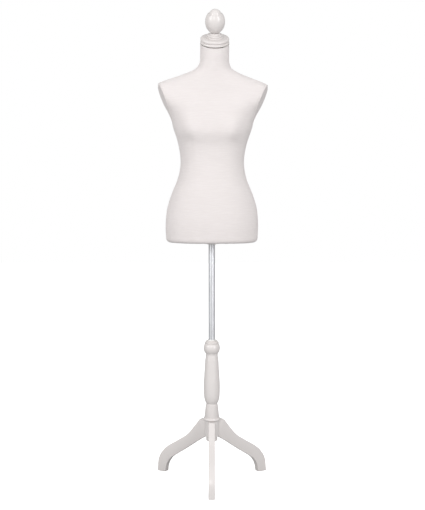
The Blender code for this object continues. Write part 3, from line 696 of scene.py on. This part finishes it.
def threaded_rod(radius, start, end, pitch, sides=36):
    """A rod along Z whose radius falls and rises once in each pitch, shifted round the turn."""
    depth = 0.55 * pitch
    levels = int((end - start) / pitch * 6)
    shape = bmesh.new()
    rings = []
    for i in range(levels + 1):
        z = start + (end - start) * i / levels
        ring = []
        for k in range(sides):
            angle = TURN * k / sides
            phase = z / pitch - k / sides
            dip = abs(2 * (phase - math.floor(phase)) - 1)
            r = radius - depth * dip
            ring.append(shape.verts.new((r * math.cos(angle), r * math.sin(angle), z)))
        rings.append(ring)
    for lower, upper in zip(rings, rings[1:]):
        for k in range(sides):
            shape.faces.new((lower[k], lower[(k + 1) % sides], upper[(k + 1) % sides], upper[k]))
    shape.faces.new(list(reversed(rings[0])))
    shape.faces.new(rings[-1])
    mesh = bpy.data.meshes.new("thread")
    shape.to_mesh(mesh)
    shape.free()
    mesh.shade_smooth()
    mesh.set_sharp_from_angle(angle=50 * DEG)
    return mesh


rod = threaded_rod((stud_high.x - stud_low.x) / 2, stud_start, stud_end, PITCH)
rod.transform(clamp_matrix)
stud = place_mesh("clamp_screw_thread", rod, "clamp_screw", hardware.material)
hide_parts("clamp_stud")

knob_low, knob_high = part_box("clamp_knob")
KNOB_R = (knob_high.x - knob_low.x) / 2
knob_start = knob_low.y - AXIS.y
knob_end = knob_high.y - AXIS.y
LOBES = 6


def lobed_knob():
    """A turned outline whose radius waves six times round, from boss to domed face."""
    depth = knob_end - knob_start
    line = [
        (4.4 * MM, 0.0), (0.52 * KNOB_R, 0.0), (0.56 * KNOB_R, 0.12 * depth), (0.80 * KNOB_R, 0.20 * depth),
        (0.95 * KNOB_R, 0.28 * depth), (1.0 * KNOB_R, 0.42 * depth), (1.0 * KNOB_R, 0.66 * depth),
        (0.95 * KNOB_R, 0.82 * depth), (0.84 * KNOB_R, 0.93 * depth), (0.66 * KNOB_R, 0.985 * depth),
        (0.58 * KNOB_R, 0.97 * depth), (0.54 * KNOB_R, 0.93 * depth), (0.30 * KNOB_R, 0.94 * depth),
        (0, 0.95 * depth)]
    sides = 120
    shape = bmesh.new()
    rings = []
    for r, z in line[:-1]:
        ring = []
        for k in range(sides):
            angle = TURN * k / sides
            wave = 0.5 - 0.5 * math.cos(LOBES * angle)
            grip = max(0.0, (r / KNOB_R - 0.62) / 0.38)
            radius = r - 1.9 * MM * wave * min(1.0, grip * 1.5)
            place = (radius * math.cos(angle), radius * math.sin(angle), knob_start + z)
            ring.append(shape.verts.new(place))
        rings.append(ring)
    for lower, upper in zip(rings, rings[1:]):
        for k in range(sides):
            shape.faces.new((lower[k], lower[(k + 1) % sides], upper[(k + 1) % sides], upper[k]))
    tip = shape.verts.new((0, 0, knob_start + line[-1][1]))
    for k in range(sides):
        shape.faces.new((rings[-1][k], rings[-1][(k + 1) % sides], tip))
    floor_z = knob_start + 0.8 * depth
    well_r = 4.4 * MM
    angles = [TURN * k / sides for k in range(sides)]
    inner = [shape.verts.new((well_r * math.cos(a), well_r * math.sin(a), floor_z)) for a in angles]
    centre = shape.verts.new((0, 0, floor_z))
    for k in range(sides):
        shape.faces.new((inner[k], inner[(k + 1) % sides], rings[0][(k + 1) % sides], rings[0][k]))
        shape.faces.new((inner[(k + 1) % sides], inner[k], centre))
    bmesh.ops.recalc_face_normals(shape, faces=shape.faces)
    mesh = bpy.data.meshes.new("knob")
    shape.to_mesh(mesh)
    shape.free()
    mesh.shade_smooth()
    mesh.set_sharp_from_angle(angle=45 * DEG)
    return mesh


knob_mesh = lobed_knob()
knob_mesh.transform(clamp_matrix)
knob = place_mesh("lobed_knob", knob_mesh, "clamp_screw", knob_plastic)
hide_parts("clamp_knob")
print("knob radius", round(KNOB_R, 4))

# %% [markdown]
# ## The form's surface
# A torso can't be turned or boxed: it is a loft through level sections. Each station gives a half
# width, a front and back depth and how square the section is; heights between them follow a smooth
# cubic. Two soft mounds make the bust, with cloth bridging the hollow between them. The arm
# stumps are sliced by a slanting plane that curves out of the form at its foot, and a soft minimum
# rounds the slice's edge as cloth would.

# %% Torso stations
TORSO_BOTTOM = cover_low.z
STATIONS = (
    (0.846, 0.1595, 0.108, 0.118, 2.25),
    (0.898, 0.1612, 0.112, 0.127, 2.25),
    (0.950, 0.1565, 0.111, 0.129, 2.2),
    (1.000, 0.1412, 0.108, 0.117, 2.2),
    (1.055, 0.1195, 0.101, 0.094, 2.2),
    (1.108, 0.1104, 0.096, 0.083, 2.2),
    (1.160, 0.1160, 0.098, 0.090, 2.25),
    (1.220, 0.1345, 0.104, 0.104, 2.3),
    (1.285, 0.1620, 0.102, 0.113, 2.3),
    (1.320, 0.2050, 0.092, 0.111, 2.2),
    (1.350, 0.2320, 0.078, 0.102, 2.2),
    (1.374, 0.2300, 0.063, 0.088, 2.2),
    (1.388, 0.1860, 0.056, 0.078, 2.1),
    (1.402, 0.1460, 0.052, 0.070, 2.0),
    (1.418, 0.1010, 0.050, 0.063, 2.0),
    (1.436, 0.0645, 0.050, 0.056, 2.0),
    (1.456, 0.0520, 0.050, 0.052, 2.0))
EDGE_SOFTNESS = 4.6 * MM
ARM_X, ARM_Z = 185 * MM + EDGE_SOFTNESS, 1374 * MM   # the soft edge draws the arm in again
ARM_LEAN = 20.5 * DEG
ARM_TURN = 8 * DEG
ARM_FOOT = 1250 * MM
ARM_EASE = 0.9
BUST_X, BUST_Z = 76 * MM, 1216 * MM
BUST_HEIGHT = 21 * MM
BUST_WIDE = 43 * MM
BUST_ABOVE = 50 * MM
BUST_BELOW = 33 * MM
BRIDGE_HEIGHT = 12 * MM
NECK_R = 50.5 * MM
NECK_TILT = 28 * DEG
NECK_TOP = Vector((0, -4 * MM, 1525 * MM))
NECK_ASIDE = 6 * MM
FORM_LEAN = 0.006
SHOULDER_DROP = 0.018
SHOULDER_RISE = 540 * MM


def station_value(column_index, height):
    last = len(STATIONS) - 1
    i = 0
    while i < last - 1 and height > STATIONS[i + 1][0]:
        i += 1
    z0, z1 = STATIONS[i][0], STATIONS[i + 1][0]

    def slope(k):
        a, b = STATIONS[max(k - 1, 0)], STATIONS[min(k + 1, last)]
        return (b[column_index] - a[column_index]) / (b[0] - a[0])

    t = (height - z0) / (z1 - z0)
    step = z1 - z0
    return ((2 * t ** 3 - 3 * t * t + 1) * STATIONS[i][column_index]
            + (t ** 3 - 2 * t * t + t) * step * slope(i)
            + (3 * t * t - 2 * t ** 3) * STATIONS[i + 1][column_index]
            + (t ** 3 - t * t) * step * slope(i + 1))


def arm_limit(y, z):
    plane = ARM_X - (ARM_Z - z) * math.tan(ARM_LEAN) + y * math.tan(ARM_TURN)
    return plane + ARM_EASE * max(0.0, ARM_FOOT - z)


def raw_point(angle, z):
    """The form before the arms are sliced, about the pole axis."""
    half_width, front, back, square = (station_value(k, z) for k in (1, 2, 3, 4))
    c, s = math.cos(angle), math.sin(angle)
    power = 2 / square
    x = half_width * math.copysign(abs(c) ** power, c)
    y = (back if s > 0 else front) * math.copysign(abs(s) ** power, s)
    if s < 0:
        below = BUST_BELOW if z < BUST_Z else BUST_ABOVE
        side = (abs(x) - BUST_X) / BUST_WIDE
        rise = (z - BUST_Z) / below
        facing = min(1.0, -s * 2)
        mound = BUST_HEIGHT * math.exp(-side * side - rise * rise)
        bridge = BRIDGE_HEIGHT * math.exp(-(x / BUST_WIDE) ** 2 - rise * rise)
        y -= (mound + bridge * (1 - mound / BUST_HEIGHT)) * facing
    return x, y


def form_point(angle, z):
    x, y = raw_point(angle, z)
    limit = arm_limit(y, z)
    over = (abs(x) - limit) / EDGE_SOFTNESS
    if over > -8:
        soft = abs(x) - EDGE_SOFTNESS * (over if over > 30 else math.log1p(math.exp(over)))
        x = math.copysign(soft, x)
    return Vector((x, y, z))


def leaned(point):
    """The form stands a touch askew: it leans to its left, and that shoulder is lower."""
    height = point.z - TORSO_BOTTOM
    drop = SHOULDER_DROP * point.x * min(1.0, height / SHOULDER_RISE)
    aside = NECK_ASIDE * min(1.0, max(0.0, (point.z - ARM_Z) / (STATIONS[-1][0] - ARM_Z)))
    return Vector((point.x + FORM_LEAN * height + aside, point.y, point.z - drop))


print("waist half width", round(station_value(1, 1.108), 4))

# %% [markdown]
# ## Cover
# The knitted cover is one sheet, sewn to shape and stretched over the foam. It is built as a fine
# grid of rings, from the edge that is stapled under the board up to the rim beneath the cap. Under
# each breast and low on the belly the cloth gathers into a small pucker, and all over it lies a
# little unevenly.

# %% Cover sheet
SIDES = 224
TURN_IN = 0.80
RING_STEP = 4.6 * MM
COVER_THICK = 1.2 * MM
PUCKERS = (                       # bearing in degrees, height, depth, reach
    (-56.0, 1.178, 1.3 * MM, 9 * MM),
    (-124.0, 1.178, 1.3 * MM, 9 * MM),
    (-81.0, 0.902, 1.1 * MM, 8 * MM))


def form_rings(sides, turn_in, ring_step):
    """Rings from an edge under the bottom, round its corner, up the form and up the neck."""
    angles = [TURN * (i + 0.5) / sides for i in range(sides)]
    first, last = STATIONS[0][0], STATIONS[-1][0]
    lowest = [form_point(a, first) for a in angles]
    rings = []
    for k in range(9):
        share = turn_in + (0.90 - turn_in) * k / 8
        rings.append([Vector((p.x * share, p.y * share, TORSO_BOTTOM)) for p in lowest])
    for k in range(1, 9):
        bend = k / 9 * math.pi / 2
        share = 0.90 + 0.10 * math.sin(bend)
        z = TORSO_BOTTOM + (first - TORSO_BOTTOM) * (1 - math.cos(bend))
        rings.append([Vector((p.x * share, p.y * share, z)) for p in lowest])
    count = round((last - first) / ring_step)
    for k in range(count + 1):
        z = first + (last - first) * k / count
        rings.append([form_point(a, z) for a in angles])
    base = Vector((0, 1 * MM, last))
    for k in range(1, 15):
        share = k / 14
        centre = base.lerp(NECK_TOP, share)
        tilt = Matrix.Rotation(NECK_TILT * share, 3, "X")
        flat = [Vector((NECK_R * math.cos(a), NECK_R * math.sin(a), 0)) for a in angles]
        rings.append([centre + tilt @ p for p in flat])
    return rings


def skin_mesh(rings):
    count = len(rings[0])
    points = [leaned(p) + AXIS for ring in rings for p in ring]
    faces = []
    for j in range(len(rings) - 1):
        for i in range(count):
            k = (i + 1) % count
            faces.append((j * count + i, j * count + k, (j + 1) * count + k, (j + 1) * count + i))
    mesh = bpy.data.meshes.new("skin")
    mesh.from_pydata(points, [], faces)
    return mesh


def relax(mesh, passes, amount):
    """Laplacian smoothing that leaves the open rims alone."""
    shape = bmesh.new()
    shape.from_mesh(mesh)
    inner = [v for v in shape.verts if not v.is_boundary]
    for _ in range(passes):
        bmesh.ops.smooth_vert(shape, verts=inner, factor=amount,
                              use_axis_x=True, use_axis_y=True, use_axis_z=True)
    shape.to_mesh(mesh)
    shape.free()


cover_mesh = skin_mesh(form_rings(SIDES, TURN_IN, RING_STEP))
relax(cover_mesh, 3, 0.5)
cover_mesh.update()
outward = [v.normal.copy() for v in cover_mesh.vertices]
bumps = np.zeros(len(cover_mesh.vertices))
for v in cover_mesh.vertices:
    low_wave = noise.noise(v.co * 11.0) * 0.7 * MM + noise.noise(v.co * 34.0) * 0.25 * MM
    local = v.co - AXIS
    for bearing_deg, height, depth, reach in PUCKERS:
        if local.y < 0 and abs(local.z - height) < 4 * reach:
            centre = raw_point(bearing_deg * DEG, height)
            dx, dz = local.x - centre[0], local.z - height
            away = math.hypot(dx, dz) / reach
            rays_round = 0.5 + 0.5 * math.cos(5 * math.atan2(dz, dx) + 0.7)
            low_wave -= depth * math.exp(-away * away * 2.2)
            low_wave -= 0.45 * depth * rays_round * math.exp(-(away - 1.1) ** 2 * 1.6)
    bumps[v.index] = low_wave
for v, way in zip(cover_mesh.vertices, outward):
    v.co += way * float(bumps[v.index])
cover = place_mesh("jersey_cover", cover_mesh, "torso", jersey.material)
cover_mesh.shade_smooth()
cloth = cover.modifiers.new("cloth_thickness", "SOLIDIFY")
cloth.thickness = COVER_THICK
cloth.offset = -1
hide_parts("fabric_cover")

# %% [markdown]
# The cut piece before sewing is a tube: as wide as the hip girth and as long as the form plus the
# turned-in edge. Seams take cloth away at the waist and shoulders. Here only the ring round the
# hips is worked out.

hip_ring = [form_point(TURN * i / SIDES, 0.898) for i in range(SIDES)]

# %% [markdown]
# ## Foam shell
# Under the cloth is a moulded shell of bead foam, 14 mm thick and open at the bottom. Its outside
# follows the same form a little way in, so that it carries the cloth everywhere.

# %% Foam shell
FOAM_INSET = 2.9 * MM
FOAM_THICK = 14 * MM
foam_mesh = skin_mesh(form_rings(SIDES // 2, 0.885, 2 * RING_STEP))
relax(foam_mesh, 1, 0.5)
foam_mesh.update()
outward = [v.normal.copy() for v in foam_mesh.vertices]
for v, way in zip(foam_mesh.vertices, outward):
    v.co -= way * FOAM_INSET
foam_shell = place_mesh("foam_shell", foam_mesh, "torso", foam.material)
foam_mesh.shade_smooth()
foam_wall = foam_shell.modifiers.new("foam_wall", "SOLIDIFY")
foam_wall.thickness = FOAM_THICK
foam_wall.offset = -1
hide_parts("foam_core")
print("foam shell", len(foam_mesh.polygons), "faces")

# %% [markdown]
# ## Seams
# A disc of the same jersey is let in at each arm, and the seam round it lies just on the edge of
# the slice. Its line is where the plane meets the form: climbing the front, over the top and
# down the back. The line is laid onto the cloth itself, because the soft edge has drawn the cloth in.


# %% Seam lines
def arm_edge(z, front):
    """Angle at which the plane meets the form on one level, by halving."""
    low, high = (0.0, math.pi / 2 - 0.02)
    sign = -1 if front else 1

    def gap(a):
        x, y = raw_point(sign * a, z)
        return abs(x) - arm_limit(y, z)

    if gap(low + 0.001) <= 0 or gap(high) >= 0:
        return None
    for _ in range(30):
        middle = (low + high) / 2
        if gap(middle) > 0:
            low = middle
        else:
            high = middle
    return sign * low


def arm_loop():
    levels = [1.246 + 0.002 * k for k in range(78)]
    up = [(z, arm_edge(z, True)) for z in levels]
    down = [(z, arm_edge(z, False)) for z in reversed(levels)]
    points = []
    for z, angle in up + down:
        if angle is not None:
            x, y = raw_point(angle, z)
            points.append(Vector((abs(x) - 0.9 * MM, y, z)))
    return points


def even_out(points, step, closed):
    """Points at an even spacing along a line, then smoothed a little."""
    line = points + [points[0]] if closed else points
    lengths = [0.0]
    for a, b in zip(line, line[1:]):
        lengths.append(lengths[-1] + (b - a).length)
    count = max(8, round(lengths[-1] / step))
    out = []
    j = 0
    for k in range(count if closed else count + 1):
        goal = lengths[-1] * k / count
        while lengths[j + 1] < goal and j < len(lengths) - 2:
            j += 1
        t = (goal - lengths[j]) / max(lengths[j + 1] - lengths[j], 1e-9)
        out.append(line[j].lerp(line[j + 1], t))
    for _ in range(4):
        if closed:
            out = [(out[k - 1] + out[k] * 2 + out[(k + 1) % len(out)]) / 4 for k in range(len(out))]
    return out


def tube(name, points, radius, closed, body, material, sides=8):
    curve = bpy.data.curves.new(name, "CURVE")
    curve.dimensions = "3D"
    curve.bevel_depth = radius
    curve.bevel_resolution = sides // 4
    curve.use_fill_caps = True
    line = curve.splines.new("POLY")
    line.points.add(len(points) - 1)
    for point, p in zip(line.points, points):
        point.co = (*p, 1)
    line.use_cyclic_u = closed
    guide = bpy.data.objects.new(name + "_guide", curve)
    bpy.context.scene.collection.objects.link(guide)
    bpy.context.view_layer.update()
    mesh = bpy.data.meshes.new_from_object(guide.evaluated_get(bpy.context.evaluated_depsgraph_get()))
    bpy.data.objects.remove(guide, do_unlink=True)
    shape = bmesh.new()
    shape.from_mesh(mesh)
    bmesh.ops.remove_doubles(shape, verts=shape.verts, dist=0.000001)
    shape.to_mesh(mesh)
    shape.free()
    mesh.shade_smooth()
    return place_mesh(name, mesh, body, material)


loop = even_out(arm_loop(), 2.5 * MM, True)
cover_points = [v.co for v in cover_mesh.vertices]
cover_faces = [p.vertices[:] for p in cover_mesh.polygons]
skin = BVHTree.FromPolygons(cover_points, cover_faces)
for side, name in ((1, "arm_seam_left"), (-1, "arm_seam_right")):
    guide = [leaned(Vector((side * p.x, p.y, p.z))) + AXIS for p in loop]
    points = [skin.find_nearest(p)[0] for p in guide]
    tube(name, points, 0.8 * MM, True, "torso", seam_cloth.material)
print("arm seam of", len(loop), "points")

# %% [markdown]
# ## Cap and finial
# Both are turned, and both lean forward with the neck. The cap is a thick disc with a bullnose
# over a bead, and a stepped moulding rises from it to carry the egg. The finial is an egg with a
# stepped tip, like an acorn.

# %% Cap
CAP_R = 50.5 * MM
CAP_HEIGHT = 22 * MM
neck_matrix = (Matrix.Translation(AXIS + leaned(NECK_TOP)) @ Matrix.Rotation(SHOULDER_DROP, 4, "Y")
               @ Matrix.Rotation(NECK_TILT, 4, "X"))
bead = 4.8 * MM
nose = (CAP_HEIGHT - 2 * bead - 1.2 * MM) / 2
nose_z = CAP_HEIGHT - nose
BUN_HEIGHT = 17 * MM
bun_top = CAP_HEIGHT + BUN_HEIGHT
cap_line = [
    (0, bun_top), (12.6 * MM, bun_top), *arc(14.6 * MM, bun_top - 1.8 * MM, 1.8 * MM, 85, -10, 6),
    (16.8 * MM, bun_top - 3.6 * MM), (18.4 * MM, bun_top - 5.2 * MM), (20.6 * MM, bun_top - 5.9 * MM),
    *arc(23.8 * MM, bun_top - 9.2 * MM, 3.4 * MM, 88, -52, 10), (26.6 * MM, CAP_HEIGHT + 5.0 * MM),
    *arc(28.2 * MM, CAP_HEIGHT + 2.5 * MM, 2.4 * MM, 82, -62, 9), (31 * MM, CAP_HEIGHT - 0.2 * MM),
    (38 * MM, CAP_HEIGHT - 0.1 * MM),
    *arc(CAP_R - nose, nose_z, nose, 90, -70, 15), *arc(CAP_R - bead, 0.3 * MM + bead, bead, 66, -88, 13),
    (0, 0.3 * MM)]
cap = turned("turned_cap", cap_line, "torso", lacquer_upright, neck_matrix, 128)
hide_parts("neck_cap")

# %% Finial
EGG_R = 34.5 * MM
EGG_HEIGHT = 84 * MM
egg_low = bun_top + 0.3 * MM
egg_middle = egg_low + 0.47 * EGG_HEIGHT
egg_half = 0.50 * EGG_HEIGHT
egg_side = []
for k in range(28):
    angle = (38 - k * 103 / 27) * DEG
    egg_side.append((EGG_R * math.cos(angle), egg_middle + egg_half * math.sin(angle)))
step_r, step_z = egg_side[0]
tip_z = egg_low + EGG_HEIGHT
tip = smooth_through(((0, tip_z), (7 * MM, tip_z - 1.0 * MM), (13.5 * MM, tip_z - 4.4 * MM),
                      (18.3 * MM, tip_z - 9.6 * MM), (20.6 * MM, step_z + 2.6 * MM)), 5)
egg_line = [*tip, (21.6 * MM, step_z + 1.5 * MM),
            *arc(step_r - 1.6 * MM, step_z + 0.2 * MM, 1.6 * MM, 112, 10, 7),
            *egg_side[1:], (12.8 * MM, egg_low + 1.6 * MM), (12.2 * MM, egg_low), (0, egg_low)]
finial = turned("turned_finial", egg_line, "torso", lacquer_upright, neck_matrix, 112)
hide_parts("finial")
print("cap faces", len(cap.data.polygons), "finial faces", len(finial.data.polygons))

# %% [markdown]
# ## Staples under the form
# The cover's edge is pulled over the board and shot down with wire staples.

# %% Staples
STAPLES = 28
WIRE = 0.5 * MM
CROWN = 10 * MM
staple_shape = bmesh.new()
for k in range(STAPLES):
    angle = TURN * (k + 0.5) / STAPLES
    rim = form_point(angle, STATIONS[0][0])
    ahead = form_point(angle + 0.02, STATIONS[0][0])
    heading = math.atan2(ahead.y - rim.y, ahead.x - rim.x)
    spot = Vector((rim.x * 0.825, rim.y * 0.825, TORSO_BOTTOM - WIRE * 0.5)) + AXIS
    crooked = 0.12 * math.sin(k * 2.4)
    matrix = Matrix.Translation(spot) @ Matrix.Rotation(heading + crooked, 4, "Z")
    matrix = matrix @ Matrix.Rotation(math.pi / 2, 4, "Y")
    bmesh.ops.create_cone(staple_shape, cap_ends=True, segments=8, radius1=WIRE, radius2=WIRE, depth=CROWN,
                          matrix=matrix)
staple_mesh = bpy.data.meshes.new("staples")
staple_shape.to_mesh(staple_mesh)
staple_shape.free()
staple_mesh.shade_smooth()
staple_mesh.set_sharp_from_angle(angle=40 * DEG)
place_mesh("cover_staples", staple_mesh, "torso", hardware.material)
print(STAPLES, "staples")

# %% [markdown]
# ## Finishes for the pieces kept from the frame
# The parts that are already the right shape keep their meshes and get a real material.

# %% Finish the CAD pieces
kept = {
    hardware.material: ["collar_screw_1", "collar_screw_2", "collar_screw_3", "flange_screw_1",
                        "flange_screw_2", "flange_screw_3", "flange_screw_4", "socket_tube", "neck_stud"],
    nylon: ["clamp_pad", "pole_head_plug", "pole_foot_plug", "socket_flange", "socket_cap"],
    brass.material: ["clamp_insert"],
    fibreboard.material: ["base_board", "neck_block"]}
for material, names in kept.items():
    for name in names:
        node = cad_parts[name]
        node.data.materials.clear()
        node.data.materials.append(material)
        node.data.shade_smooth()
        node.data.set_sharp_from_angle(angle=38 * DEG)
print(sum(len(n) for n in kept.values()), "pieces refinished")
